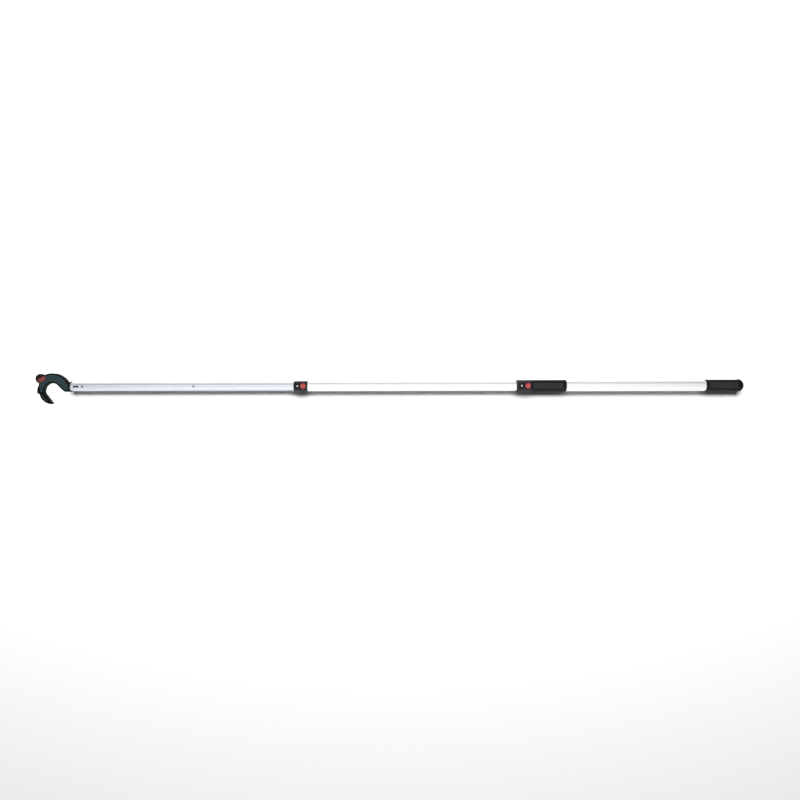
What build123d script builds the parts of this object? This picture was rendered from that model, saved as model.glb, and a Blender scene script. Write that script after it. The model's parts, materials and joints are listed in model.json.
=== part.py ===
"""A telescopic boat hook: three nested tubes with push-button collars, and a hook with a threading arm.

The pole lies along X. The origin is at the middle of the flat butt face, so the whole pole is at
negative X and the hook is at its far end, opening towards -Y. The buttons face +Z.
A "reach" is a distance from the butt face, measured along the pole.
"""

import os
from math import cos, radians, sin, sqrt

from build123d import *

os.makedirs("parts", exist_ok=True)

# Tubes: round, with one flat along the top that stops them turning in each other
inner_tube_radius = 15.0
tube_wall = 1.5
tube_gap = 0.5
flat_depth = 1.05
middle_tube_radius = inner_tube_radius + tube_wall + tube_gap
outer_tube_radius = middle_tube_radius + tube_wall + tube_gap

# Fits
running_clearance = 0.05
free_clearance = 0.3

# Lengths along the pole, from the butt to the hook
butt_flare_length = 19.0
butt_grip_length = 110.0
outer_bare_length = 479.0
grip_ring_length = 9.0
fore_grip_length = 110.0
handle_collar_length = 52.0
middle_bare_length = 718.0
middle_collar_length = 47.6
inner_bare_length = 768.0
tube_overlap = 100.0

butt_grip_reach = butt_flare_length
fore_ring_reach = butt_grip_reach + butt_grip_length + outer_bare_length
fore_grip_reach = fore_ring_reach + grip_ring_length
handle_collar_reach = fore_grip_reach + fore_grip_length
handle_collar_end = handle_collar_reach + handle_collar_length
middle_collar_reach = handle_collar_end + middle_bare_length
middle_collar_end = middle_collar_reach + middle_collar_length
neck_reach = middle_collar_end + inner_bare_length

# Butt cap
butt_face_radius = 13.0
butt_flare_radius = 21.5
butt_dome_length = 9.0
butt_socket_reach = 6.0
butt_plug_end = 35.0

# Grips
grip_wall = 1.2
grip_ring_wall = 1.9
rib_pitch = 5.0
rib_groove_width = 1.6
rib_groove_depth = 0.6
grip_plain_end = 9.0

# Collars, the same build on both tubes
collar_wall = 1.2
collar_lip = 2.0
guide_bush_length = 6.6
boss_end_margin = 1.5
boss_spare = 0.4
boss_roof = 1.6
boss_corner_radius = 5.0
boss_edge_radius = 1.6
button_radius = 9.2
button_travel = 2.0
button_flange = 0.8
button_flange_depth = 1.2
button_stem_radius = 3.5
button_proud = 0.9
button_dish_margin = 1.2
button_dish_depth = 0.6
cavity_side_gap = 0.4
boss_side_wall = 2.15
boss_width = 2 * (button_radius + button_flange + cavity_side_gap + boss_side_wall)
lock_pin_radius = 3.0
lock_hole_radius = 3.25
lock_pin_sunk = 0.4
fulcrum_radius = 0.8
fulcrum_lift = 0.2
leaf_thickness = 0.6
leaf_width = 10.0
leaf_button_end = 6.0
leaf_pin_end = 5.0
leaf_top_rise = fulcrum_lift + 2 * fulcrum_radius + leaf_thickness
boss_rise = leaf_top_rise + button_travel + button_flange_depth + boss_spare + boss_roof
lock_spring_wire = 0.25
lock_spring_radius = 3.8
rivet_radius = 1.6
handle_button_offset = 15.0
handle_pin_offset = 36.5
middle_button_offset = 14.0
middle_pin_offset = 33.4

# Stops of the lock pin along the inner tube, counted from the fully drawn-out one
inner_lock_strokes = (0.0, 358.0, 740.0)

# Tail bushes, which steady the inner end of each sliding tube
tail_flange_length = 12.0
tail_spigot_length = 10.0
tail_bush_wall = 2.5

# Hook, in its own plane with the centre of its round mouth as the origin
mouth_radius = 27.5
arch_radius = 61.5
hook_centre_reach = 64.0
hook_centre_drop = 15.1
hook_shell_thickness = 8.0
hook_edge_radius = 2.5
flange_length = 4.0
flange_radius = 18.25
flange_rim_width = 1.4
neck_radius = 14.5
neck_top_rise = 14.0
neck_bottom_drop = 17.5
neck_corner_x = 43.0
mouth_leave_angle = 40.0
shoulder_angle = 121.0
cheek_angle = 150.0
cheek_setback = 9.0
shell_end_angle = 194.0
panel_inset = 4.6
panel_seat = 1.5
panel_proud = 0.9
panel_edge = 0.6

# Nose lug of the hook with its rubber bumper, and the side bumper
nose_angle = 134.0
nose_setback = 1.8
nose_lug_radius = 14.4
nose_bumper_radius = 16.8
bumper_thickness = 7.4
bumper_edge_radius = 2.4
bumper_tongue = 2.0
bumper_tongue_thickness = 2.4
bumper_tongue_reach = 70.0
side_tongue_margin = 3.0
side_bumper_wall = 6.9
side_bumper_start = 160.0
side_bumper_end = 191.0

# Threading arm: a curved blade that slides round the mouth in a channel between the shells
channel_wall = 3.5
channel_width = 11.0
channel_half_height = 4.6
channel_start_angle = 85.0
arm_clearance = 0.1
arm_tail_angle = 88.0
arm_half_thickness = 8.0
arm_rim_step = 0.3
arm_tip_bend_angle = 262.0
arm_tip_angle = 269.0
arm_tip_setback = 4.9
arm_waist_angle = 236.0
arm_waist_width = 18.8
arm_edge_radius = 2.2
arm_step_gap = 0.5
arm_relief_depth = 1.6
arm_relief_top = -1.0
arm_notch_angle = 118.0
arm_notch_span = 5.0
inlay_width = 3.8
inlay_setout = 0.8
inlay_start_angle = 199.0
inlay_end_angle = 244.0
inlay_seat = 1.2
inlay_proud = 0.3

# Release button of the arm
pill_length = 29.0
pill_width = 15.4
pill_angle = 130.4
pill_setback = 8.0
pill_turn = 28.0
pill_travel = 2.0
pill_proud = 2.4
pill_flange = 0.8
pill_flange_depth = 1.2
pill_edge_radius = 1.8
pill_frame = 1.5
pill_spring_closed = 1.15
pill_roof = 2.2
pill_foot_offset = 4.2
pill_foot_angle = 124.0
pill_foot_radius = 1.4
pill_spring_wire = 0.3
pill_spring_radius = 3.0
pill_spring_turns = 3
pill_spring_offset = 6.0

# Catch of the arm: a spring strip between the shells
catch_thickness = 0.8
catch_width = 6.0
catch_tooth_depth = 1.3
catch_tooth_span = 3.4
catch_free_span = 12.0
catch_root_span = 5.0
catch_drop = pill_travel + catch_thickness / 2 + 1.0

# Screws and the socket that joins the hook to the inner tube
socket_spigot_length = 36.0
socket_bore_radius = 8.0
socket_tang_length = 17.0
socket_tang_width = 16.0
socket_tang_thickness = 7.0
key_reach = 20.0
key_lobe_radius = 3.6
key_lobe_pitch = 11.0
key_waist = 4.4
key_base_length = 21.0
key_base_width = 9.0
key_base_depth = 1.6
key_proud = 0.1
screw_radius = 1.6
screw_head_radius = 3.0
screw_head_depth = 1.8
screw_socket_radius = 1.3
screw_tip_z = 5.0
screw_channel_wall = 0.9
shell_screw_angles = (38.0, 68.0, 102.0)

# Radii about the centre of the hook's mouth, from the mouth outwards
channel_inner_radius = mouth_radius + channel_wall
channel_outer_radius = channel_inner_radius + channel_width
shell_end_radius = channel_outer_radius + channel_wall
arm_outer_radius = shell_end_radius - arm_rim_step
arm_root_inner_radius = mouth_radius - arm_rim_step
side_bumper_radius = shell_end_radius + side_bumper_wall
inlay_middle_radius = (channel_inner_radius + channel_outer_radius) / 2 + inlay_setout
inlay_inner_radius = inlay_middle_radius - inlay_width / 2
inlay_outer_radius = inlay_middle_radius + inlay_width / 2
shell_screw_radius = channel_outer_radius + screw_channel_wall + screw_radius
cheek_radius = arch_radius - cheek_setback
nose_distance = arch_radius - nose_setback
pill_distance = arch_radius - pill_setback


def across(reach):
    """The plane across the pole at a reach, looking towards the butt."""
    return Plane.YZ.offset(-reach)


def draw_tube_profile(radius, grow=0.0):
    """A round section with the flat on top, drawn in the open sketch."""
    Circle(radius + grow)
    flat_height = radius - flat_depth + grow
    with Locations((0, flat_height)):
        Rectangle(2 * radius + 2, 2 * radius, align=(Align.CENTER, Align.MIN), mode=Mode.SUBTRACT)


def flat_height_of(radius):
    """The height of a tube's flat above the pole's axis."""
    return radius - flat_depth


def export(piece, name):
    """Label a finished piece and write it as its own file."""
    piece.label = name
    export_step(piece, f"parts/{name}.step")


def tube(radius, start, end, holes, rivets):
    """A tube between two reaches, with lock holes in its flat and rivet holes underneath."""
    with BuildPart() as made:
        with BuildSketch(across(end)):
            draw_tube_profile(radius)
        extrude(amount=end - start)
        with BuildSketch(across(end)):
            draw_tube_profile(radius, grow=-tube_wall)
        extrude(amount=end - start, mode=Mode.SUBTRACT)
        if holes:
            with BuildSketch(Plane.XY):
                with Locations([(-reach, 0) for reach in holes]):
                    Circle(lock_hole_radius)
            extrude(amount=radius + 1, mode=Mode.SUBTRACT)
        if rivets:
            with BuildSketch(Plane.XY):
                with Locations([(-reach, 0) for reach in rivets]):
                    Circle(rivet_radius)
            extrude(amount=-radius - 1, mode=Mode.SUBTRACT)
    return made.part


def ribbed_grip(start, end, plain_start, plain_end):
    """A rubber sleeve over the outer tube, with ring grooves between its plain ends."""
    outside = outer_tube_radius + grip_wall
    groove_start = start + plain_start
    groove_count = int((end - plain_end - groove_start) / rib_pitch)
    with BuildPart() as grip:
        with BuildSketch(across(end)):
            Circle(outside)
        extrude(amount=end - start)
        chamfer(grip.edges().filter_by(GeomType.CIRCLE), length=grip_wall / 3)
        with BuildSketch(Plane.XZ):
            for index in range(groove_count):
                groove_reach = groove_start + (index + 0.5) * rib_pitch
                with Locations((-groove_reach, outside)):
                    Rectangle(rib_groove_width, 2 * rib_groove_depth)
        revolve(axis=Axis.X, mode=Mode.SUBTRACT)
        with BuildSketch(across(end)):
            draw_tube_profile(outer_tube_radius)
        extrude(amount=end - start, mode=Mode.SUBTRACT)
    return grip.part


def collar(tube_radius, next_radius, start, end, button_offset, pin_offset, rivets):
    """The housing at a tube's front end: a sleeve with a boss on top for the button and lock pin."""
    outside = tube_radius + collar_wall
    flat = flat_height_of(tube_radius)
    roof_top = flat + boss_rise
    button_x = -(start + button_offset)
    pin_x = -(start + pin_offset)
    boss_length = end - start - 2 * boss_end_margin
    cavity_start = button_offset - button_radius - button_flange - 0.6
    cavity_end = pin_offset + leaf_pin_end + 0.6
    cavity_length = cavity_end - cavity_start
    cavity_x = -(start + (cavity_start + cavity_end) / 2)
    cavity_width = 2 * (button_radius + button_flange + cavity_side_gap)
    with BuildPart() as housing:
        with BuildSketch(Plane.XY):
            with Locations((-(start + end) / 2, 0)):
                RectangleRounded(boss_length, boss_width, boss_corner_radius)
        extrude(amount=roof_top)
        fillet(housing.faces().sort_by(Axis.Z)[-1].edges(), radius=boss_edge_radius)
        with BuildSketch(across(end)) as sleeve_section:
            Circle(outside)
        extrude(amount=end - start)
        rims = housing.edges().filter_by(GeomType.CIRCLE)
        rims = rims.filter_by(lambda edge: edge.radius > outside - 0.01 and edge.length > 5 * outside)
        chamfer(rims, length=collar_wall / 3)
        with BuildSketch(across(end - collar_lip)):
            draw_tube_profile(tube_radius)
        extrude(amount=end - start - collar_lip, mode=Mode.SUBTRACT)
        with BuildSketch(across(end)):
            draw_tube_profile(next_radius, grow=free_clearance)
        extrude(amount=collar_lip, mode=Mode.SUBTRACT)
        with BuildSketch(Plane.XY.offset(flat)):
            with Locations((cavity_x, 0)):
                RectangleRounded(cavity_length, cavity_width, boss_corner_radius)
        extrude(amount=boss_rise - boss_roof, mode=Mode.SUBTRACT)
        with BuildSketch(Plane.XY.offset(roof_top)):
            with Locations((button_x, 0)):
                Circle(button_radius + button_dish_margin)
        extrude(amount=-button_dish_depth, mode=Mode.SUBTRACT)
        with BuildSketch(Plane.XY.offset(roof_top)):
            with Locations((button_x, 0)):
                Circle(button_radius + free_clearance)
            with Locations((pin_x, 0)):
                Circle(lock_hole_radius)
        extrude(amount=-2 * boss_roof, mode=Mode.SUBTRACT)
        with BuildSketch(Plane.XY):
            with Locations([(-reach, 0) for reach in rivets]):
                Circle(rivet_radius)
        extrude(amount=-outside - 1, mode=Mode.SUBTRACT)
        with BuildSketch(Plane.XZ):
            with Locations(((button_x + pin_x) / 2, flat + fulcrum_lift + fulcrum_radius)):
                Circle(fulcrum_radius)
        extrude(amount=boss_width / 2 - 0.8, both=True, mode=Mode.SUBTRACT)
    return housing.part


def guide_bush(tube_radius, next_radius, front):
    """The ring in front of a tube's end, on which the next tube runs."""
    with BuildPart() as ring:
        with BuildSketch(across(front)):
            draw_tube_profile(tube_radius)
            with BuildSketch(mode=Mode.PRIVATE) as bore:
                draw_tube_profile(next_radius, grow=running_clearance)
            add(bore.sketch, mode=Mode.SUBTRACT)
        extrude(amount=guide_bush_length)
    return ring.part


def tail_bush(tube_radius, tube_start, next_out_radius):
    """The plug behind a sliding tube, whose flange runs in the tube outside it."""
    bore_radius = tube_radius - tube_wall - tail_bush_wall
    flange_grow = tube_gap - running_clearance
    with BuildPart() as plug:
        with BuildSketch(across(tube_start)):
            draw_tube_profile(tube_radius, grow=flange_grow)
        extrude(amount=tail_flange_length)
        with BuildSketch(across(tube_start)):
            draw_tube_profile(tube_radius, grow=-tube_wall)
        extrude(amount=-tail_spigot_length)
        with BuildSketch(across(tube_start + tail_spigot_length)):
            Circle(min(bore_radius, next_out_radius))
        extrude(amount=tail_flange_length + tail_spigot_length, mode=Mode.SUBTRACT)
    return plug.part


def push_button(tube_radius, start, button_offset):
    """A round push button with its retaining flange and its stem."""
    flat = flat_height_of(tube_radius)
    roof_top = flat + boss_rise
    roof_under = roof_top - boss_roof
    button_x = -(start + button_offset)
    flange_top = roof_under - running_clearance
    flange_under = flange_top - button_flange_depth
    stem_end = flat + leaf_top_rise + free_clearance
    with BuildPart() as button:
        with BuildSketch(Plane.XY.offset(flange_under)):
            with Locations((button_x, 0)):
                Circle(button_radius)
        extrude(amount=roof_top + button_proud - flange_under)
        fillet(button.faces().sort_by(Axis.Z)[-1].edges(), radius=button_proud)
        with BuildSketch(Plane.XY.offset(flange_under)):
            with Locations((button_x, 0)):
                Circle(button_radius + button_flange)
        extrude(amount=button_flange_depth)
        with BuildSketch(Plane.XY.offset(stem_end)):
            with Locations((button_x, 0)):
                Circle(button_stem_radius)
        extrude(amount=flange_under - stem_end)
    return button.part


def lock_leaf(tube_radius, start, button_offset, pin_offset):
    """The spring strip under the button, with the lock pin standing through its far end."""
    flat = flat_height_of(tube_radius)
    leaf_under = flat + fulcrum_lift + 2 * fulcrum_radius
    pin_x = -(start + pin_offset)
    leaf_from = start + button_offset - leaf_button_end
    leaf_to = start + pin_offset + leaf_pin_end
    next_flat = flat - tube_wall - tube_gap
    pin_under = next_flat - tube_wall + free_clearance / 2
    pin_top = flat + boss_rise - lock_pin_sunk
    with BuildPart() as leaf:
        with BuildSketch(Plane.XY.offset(leaf_under)):
            with Locations((-(leaf_from + leaf_to) / 2, 0)):
                RectangleRounded(leaf_to - leaf_from, leaf_width, leaf_width / 4)
        extrude(amount=leaf_thickness)
        with BuildSketch(Plane.XY.offset(pin_under)):
            with Locations((pin_x, 0)):
                Circle(lock_pin_radius)
        extrude(amount=pin_top - pin_under)
        ends = leaf.faces().sort_by(Axis.Z)
        chamfer(ends[0].edges() + ends[-1].edges(), length=0.5)
    return leaf.part


def fulcrum_pin(tube_radius, start, button_offset, pin_offset):
    """The cross pin on which the spring strip rocks."""
    height = flat_height_of(tube_radius) + fulcrum_lift + fulcrum_radius
    middle_x = -(start + (button_offset + pin_offset) / 2)
    with BuildPart() as pin:
        with BuildSketch(Plane.XZ):
            with Locations((middle_x, height)):
                Circle(fulcrum_radius)
        extrude(amount=boss_width / 2 - 0.8, both=True)
    return pin.part


def coil_spring(x, y, low, high, radius, wire, turns):
    """A coil spring standing along Z between two heights."""
    rise = high - low - 2 * wire
    base = Plane(origin=(x, y, low + wire))
    with BuildPart() as spring:
        with BuildLine(base) as path:
            Helix(pitch=rise / turns, height=rise, radius=radius)
        with BuildSketch(Plane(origin=path.line @ 0, z_dir=path.line % 0)):
            Circle(wire)
        sweep(path=path.line, is_frenet=True)
    return spring.part


def lock_spring(tube_radius, start, pin_offset):
    """The coil round the lock pin that pushes it down into its hole."""
    flat = flat_height_of(tube_radius)
    low = flat + leaf_top_rise + running_clearance
    high = flat + boss_rise - boss_roof - running_clearance
    return coil_spring(-(start + pin_offset), 0, low, high, lock_spring_radius, lock_spring_wire, 3)


def flush_rivets(tube_radius, reaches):
    """Rivets under the pole that hold a collar to its tube, flush inside and out."""
    with BuildPart() as rivets:
        with BuildSketch(Plane.XY.offset(-tube_radius - collar_wall)):
            with Locations([(-reach, 0) for reach in reaches]):
                Circle(rivet_radius)
        extrude(amount=collar_wall + tube_wall)
        with BuildSketch(across(max(reaches) + 2 * rivet_radius)):
            Circle(tube_radius + collar_wall)
            Circle(tube_radius - tube_wall, mode=Mode.SUBTRACT)
        extrude(amount=max(reaches) - min(reaches) + 4 * rivet_radius, mode=Mode.INTERSECT)
    return rivets.part


# Outer stage: the tube in the hands
outer_tube_end = handle_collar_end - collar_lip - guide_bush_length
handle_rivets = (handle_collar_reach + 9.0, handle_collar_reach + 30.0)
handle_pin_reach = handle_collar_reach + handle_pin_offset
outer_tube = tube(outer_tube_radius, butt_socket_reach, outer_tube_end, [handle_pin_reach], handle_rivets)
export(outer_tube, "outer_tube")

with BuildPart() as butt_cap:
    with BuildSketch(Plane.XZ):
        with BuildLine():
            dome_start = (0.0, butt_face_radius)
            dome_end = (-butt_dome_length, butt_flare_radius)
            skirt_end = (-butt_flare_length, outer_tube_radius + grip_wall)
            Line((0, 0), dome_start)
            RadiusArc(dome_start, dome_end, -1.4 * butt_dome_length)
            Line(dome_end, (-0.75 * butt_flare_length, butt_flare_radius))
            Line((-0.75 * butt_flare_length, butt_flare_radius), skirt_end)
            Line(skirt_end, (-butt_flare_length, 0))
            Line((-butt_flare_length, 0), (0, 0))
        make_face()
    revolve(axis=Axis.X)
    with BuildSketch(across(butt_flare_length)):
        draw_tube_profile(outer_tube_radius)
    extrude(amount=butt_flare_length - butt_socket_reach, mode=Mode.SUBTRACT)
    with BuildSketch(across(butt_plug_end)):
        draw_tube_profile(outer_tube_radius, grow=-tube_wall)
    extrude(amount=butt_plug_end - butt_socket_reach)
    with BuildSketch(across(butt_plug_end)):
        Circle(middle_tube_radius - 5)
    extrude(amount=butt_plug_end - butt_socket_reach - 4, mode=Mode.SUBTRACT)
export(butt_cap.part, "butt_cap")

butt_grip_end = butt_grip_reach + butt_grip_length
butt_grip = ribbed_grip(butt_grip_reach, butt_grip_end, 3.0, grip_plain_end)
export(butt_grip, "butt_grip")

with BuildPart() as fore_grip_ring:
    with BuildSketch(across(fore_grip_reach)):
        Circle(outer_tube_radius + grip_ring_wall)
    extrude(amount=grip_ring_length)
    fillet(fore_grip_ring.edges().filter_by(GeomType.CIRCLE), radius=grip_ring_wall / 2)
    with BuildSketch(across(fore_grip_reach)):
        draw_tube_profile(outer_tube_radius)
    extrude(amount=grip_ring_length, mode=Mode.SUBTRACT)
export(fore_grip_ring.part, "fore_grip_ring")

fore_grip = ribbed_grip(fore_grip_reach, handle_collar_reach, 4.0, 4.0)
export(fore_grip, "fore_grip")

handle_collar = collar(
    outer_tube_radius,
    middle_tube_radius,
    handle_collar_reach,
    handle_collar_end,
    handle_button_offset,
    handle_pin_offset,
    handle_rivets,
)
export(handle_collar, "handle_collar")
export(flush_rivets(outer_tube_radius, handle_rivets), "handle_collar_rivets")

handle_bush_front = handle_collar_end - collar_lip
export(guide_bush(outer_tube_radius, middle_tube_radius, handle_bush_front), "handle_guide_bush")
export(
    lock_leaf(outer_tube_radius, handle_collar_reach, handle_button_offset, handle_pin_offset),
    "handle_lock_leaf",
)
export(
    fulcrum_pin(outer_tube_radius, handle_collar_reach, handle_button_offset, handle_pin_offset),
    "handle_fulcrum_pin",
)
export(lock_spring(outer_tube_radius, handle_collar_reach, handle_pin_offset), "handle_lock_spring")
export(push_button(outer_tube_radius, handle_collar_reach, handle_button_offset), "handle_button")

# Middle stage
middle_tube_start = handle_collar_end - tube_overlap
middle_tube_end = middle_collar_end - collar_lip - guide_bush_length
middle_rivets = (middle_collar_reach + 8.0, middle_collar_reach + 26.0)
middle_pin_reach = middle_collar_reach + middle_pin_offset
middle_tube = tube(
    middle_tube_radius,
    middle_tube_start,
    middle_tube_end,
    [handle_pin_reach, middle_pin_reach],
    middle_rivets,
)
export(middle_tube, "middle_tube")
middle_tail = tail_bush(middle_tube_radius, middle_tube_start, inner_tube_radius - tube_wall)
export(middle_tail, "middle_tail_bush")

middle_collar = collar(
    middle_tube_radius,
    inner_tube_radius,
    middle_collar_reach,
    middle_collar_end,
    middle_button_offset,
    middle_pin_offset,
    middle_rivets,
)
export(middle_collar, "middle_collar")
export(flush_rivets(middle_tube_radius, middle_rivets), "middle_collar_rivets")

middle_bush_front = middle_collar_end - collar_lip
export(guide_bush(middle_tube_radius, inner_tube_radius, middle_bush_front), "middle_guide_bush")
export(
    lock_leaf(middle_tube_radius, middle_collar_reach, middle_button_offset, middle_pin_offset),
    "middle_lock_leaf",
)
export(
    fulcrum_pin(middle_tube_radius, middle_collar_reach, middle_button_offset, middle_pin_offset),
    "middle_fulcrum_pin",
)
export(lock_spring(middle_tube_radius, middle_collar_reach, middle_pin_offset), "middle_lock_spring")
export(push_button(middle_tube_radius, middle_collar_reach, middle_button_offset), "middle_button")

# Inner stage: its tube
inner_tube_start = middle_collar_end - tube_overlap
inner_lock_reaches = [middle_pin_reach + stroke for stroke in inner_lock_strokes]
key_centre_reach = neck_reach - key_reach

with BuildPart() as inner_tube_built:
    add(tube(inner_tube_radius, inner_tube_start, neck_reach, inner_lock_reaches, []))
    with BuildSketch(Plane.XY):
        with Locations((-key_centre_reach, 0)):
            with GridLocations(key_lobe_pitch, 0, 2, 1):
                Circle(key_lobe_radius)
            Rectangle(key_lobe_pitch, key_waist)
    extrude(amount=inner_tube_radius + 1, mode=Mode.SUBTRACT)
export(inner_tube_built.part, "inner_tube")
export(
    tail_bush(inner_tube_radius, inner_tube_start, inner_tube_radius - tube_wall - tail_bush_wall),
    "inner_tail_bush",
)

# Hook: everything below is drawn about the centre of its mouth
hook_plane = Plane(origin=(-(neck_reach + hook_centre_reach), -hook_centre_drop, 0))
axis_rise = hook_centre_drop
neck_face_x = hook_centre_reach - flange_length
neck_top = axis_rise + neck_top_rise
neck_bottom = axis_rise - neck_bottom_drop


def polar(radius, angle):
    """A point in the hook's plane, from the centre of its mouth."""
    return (radius * cos(radians(angle)), radius * sin(radians(angle)))


def draw_hook_outline(nose_lug=True):
    """The side view of the hook's fixed body, drawn in the open sketch."""
    leave = polar(mouth_radius, mouth_leave_angle)
    leave_heading = (sin(radians(mouth_leave_angle)), -cos(radians(mouth_leave_angle)))
    arch_foot = (sqrt(arch_radius**2 - neck_top**2), neck_top)
    shoulder = polar(arch_radius, shoulder_angle)
    shell_end_out = polar(shell_end_radius, shell_end_angle)
    shell_end_in = polar(mouth_radius, shell_end_angle)
    mouth_top = polar(mouth_radius, 110)
    with BuildLine() as outline:
        ThreePointArc(shell_end_in, mouth_top, leave)
        TangentArc(leave, (neck_corner_x, neck_bottom), tangent=leave_heading)
        Line((neck_corner_x, neck_bottom), (neck_face_x, neck_bottom))
        Line((neck_face_x, neck_bottom), (neck_face_x, neck_top))
        Line((neck_face_x, neck_top), arch_foot)
        ThreePointArc(arch_foot, polar(arch_radius, 75), shoulder)
        ThreePointArc(shoulder, polar(cheek_radius, cheek_angle), shell_end_out)
        Line(shell_end_out, shell_end_in)
    make_face(outline.edges())
    if nose_lug:
        with Locations(polar(nose_distance, nose_angle)):
            Circle(nose_lug_radius)


def draw_ring_sector(inner, outer, start, end):
    """Part of a ring about the sketch's origin, drawn in the open sketch."""
    with BuildLine() as rim:
        CenterArc((0, 0), inner, start, end - start)
        CenterArc((0, 0), outer, start, end - start)
        Line(polar(inner, start), polar(outer, start))
        Line(polar(inner, end), polar(outer, end))
    make_face(rim.edges())


def hook_level(height):
    """The hook's plane, raised to a height above the pole's axis."""
    return hook_plane.offset(height)


tang_x = neck_face_x - socket_tang_length / 2
screw_spots = [polar(shell_screw_radius, angle) for angle in shell_screw_angles] + [(tang_x, axis_rise)]
pill_spot = polar(pill_distance, pill_angle)
pill_foot_spot = polar(channel_outer_radius + pill_foot_offset, pill_foot_angle)
nose_spot = polar(nose_distance, nose_angle)
nose_centre = hook_plane.from_local_coords((nose_spot[0], nose_spot[1], 0))
catch_inner_radius = channel_outer_radius + 0.4
catch_outer_radius = catch_inner_radius + catch_width
catch_free_angle = arm_notch_angle - arm_notch_span / 2
catch_root_angle = catch_free_angle + catch_free_span
catch_end_angle = catch_root_angle + catch_root_span


def nose_level(height):
    """The plane about the nose lug's centre, raised to a height above the pole's axis."""
    return Plane(origin=(nose_centre.X, nose_centre.Y, height))


def draw_screw_circles(radius):
    """One circle for each screw that joins the shells, and one for the screw through the tang."""
    with Locations(screw_spots):
        Circle(radius)


def draw_pill(grow):
    """The outline of the arm's release button."""
    with Locations(pill_spot):
        SlotOverall(pill_length + 2 * grow, pill_width + 2 * grow, rotation=pill_turn)


def draw_nose_tongue():
    """The curved tongue that keys the nose bumper to its lug, about the lug's centre."""
    start = nose_angle - bumper_tongue_reach
    draw_ring_sector(nose_lug_radius - bumper_tongue, nose_lug_radius, start, start + 2 * bumper_tongue_reach)


def draw_side_tongue():
    """The tongue that keys the side bumper between the shells."""
    draw_ring_sector(
        shell_end_radius - bumper_tongue / 2,
        side_bumper_radius,
        side_bumper_start + side_tongue_margin,
        side_bumper_end - side_tongue_margin,
    )


def hook_half():
    """Half of the hook's body, above the parting plane."""
    with BuildPart() as half:
        with BuildSketch(hook_level(0)):
            draw_hook_outline()
        extrude(amount=hook_shell_thickness)
        fillet(half.faces().sort_by(Axis.Z)[-1].edges(), radius=hook_edge_radius)
        with BuildSketch(hook_level(hook_shell_thickness - panel_seat)):
            draw_hook_outline(nose_lug=False)
            offset(amount=-panel_inset)
        extrude(amount=panel_seat, mode=Mode.SUBTRACT)
        with BuildSketch(hook_level(0)):
            channel_mouth_angle = shell_end_angle + 2
            draw_ring_sector(
                channel_inner_radius, channel_outer_radius, channel_start_angle, channel_mouth_angle
            )
        extrude(amount=channel_half_height, mode=Mode.SUBTRACT)
        with BuildSketch(hook_level(0)):
            with Locations((tang_x, axis_rise)):
                Rectangle(socket_tang_length, socket_tang_width)
        extrude(amount=socket_tang_thickness / 2, mode=Mode.SUBTRACT)
        with BuildSketch(nose_level(0)):
            draw_nose_tongue()
        extrude(amount=bumper_tongue_thickness / 2, mode=Mode.SUBTRACT)
        with BuildSketch(hook_level(0)):
            draw_side_tongue()
        extrude(amount=bumper_tongue_thickness / 2, mode=Mode.SUBTRACT)
        with BuildSketch(hook_level(0)):
            draw_ring_sector(catch_inner_radius, catch_outer_radius, catch_root_angle, catch_end_angle)
        extrude(amount=catch_thickness / 2, mode=Mode.SUBTRACT)
    return half.part


def draw_catch_window():
    """The room round the free end of the arm's catch, drawn in the open sketch."""
    draw_ring_sector(
        channel_outer_radius - 1.0,
        catch_outer_radius + free_clearance,
        catch_free_angle - 1.0,
        catch_root_angle,
    )


pill_flange_top = hook_shell_thickness - pill_roof - running_clearance
pill_flange_under = pill_flange_top - pill_flange_depth
pill_pocket_floor = pill_flange_under - pill_travel - pill_spring_closed
upper_half = hook_half()

with BuildPart() as hook_shell_upper:
    add(upper_half)
    with BuildSketch(hook_level(0)):
        draw_screw_circles(screw_radius)
    extrude(amount=screw_tip_z, mode=Mode.SUBTRACT)
    with BuildSketch(hook_level(0)):
        draw_catch_window()
    extrude(amount=pill_pocket_floor, mode=Mode.SUBTRACT)
    with BuildSketch(hook_level(pill_pocket_floor)):
        draw_pill(pill_flange + free_clearance)
    extrude(amount=hook_shell_thickness - pill_roof - pill_pocket_floor, mode=Mode.SUBTRACT)
    with BuildSketch(hook_level(pill_pocket_floor)):
        draw_pill(free_clearance)
    extrude(amount=hook_shell_thickness, mode=Mode.SUBTRACT)
export(hook_shell_upper.part, "hook_shell_upper")

screw_head_z = -(hook_shell_thickness - panel_seat)
with BuildPart() as hook_shell_lower:
    add(mirror(upper_half, about=Plane.XY))
    with BuildSketch(hook_level(screw_head_z)):
        draw_screw_circles(screw_radius)
    extrude(amount=hook_shell_thickness, mode=Mode.SUBTRACT)
    with BuildSketch(hook_level(screw_head_z)):
        draw_screw_circles(screw_head_radius)
    extrude(amount=screw_head_depth, mode=Mode.SUBTRACT)
    with BuildSketch(hook_level(0)):
        draw_catch_window()
    extrude(amount=-catch_drop, mode=Mode.SUBTRACT)
export(hook_shell_lower.part, "hook_shell_lower")

with BuildPart() as shell_screws:
    with BuildSketch(hook_level(screw_head_z)):
        draw_screw_circles(screw_radius)
    extrude(amount=screw_tip_z - screw_head_z)
    with BuildSketch(hook_level(screw_head_z)):
        draw_screw_circles(screw_head_radius)
    extrude(amount=screw_head_depth)
    with BuildSketch(hook_level(screw_head_z)):
        with Locations(screw_spots):
            RegularPolygon(screw_socket_radius, 6)
    extrude(amount=screw_head_depth / 2, mode=Mode.SUBTRACT)
export(shell_screws.part, "shell_screws")


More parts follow.
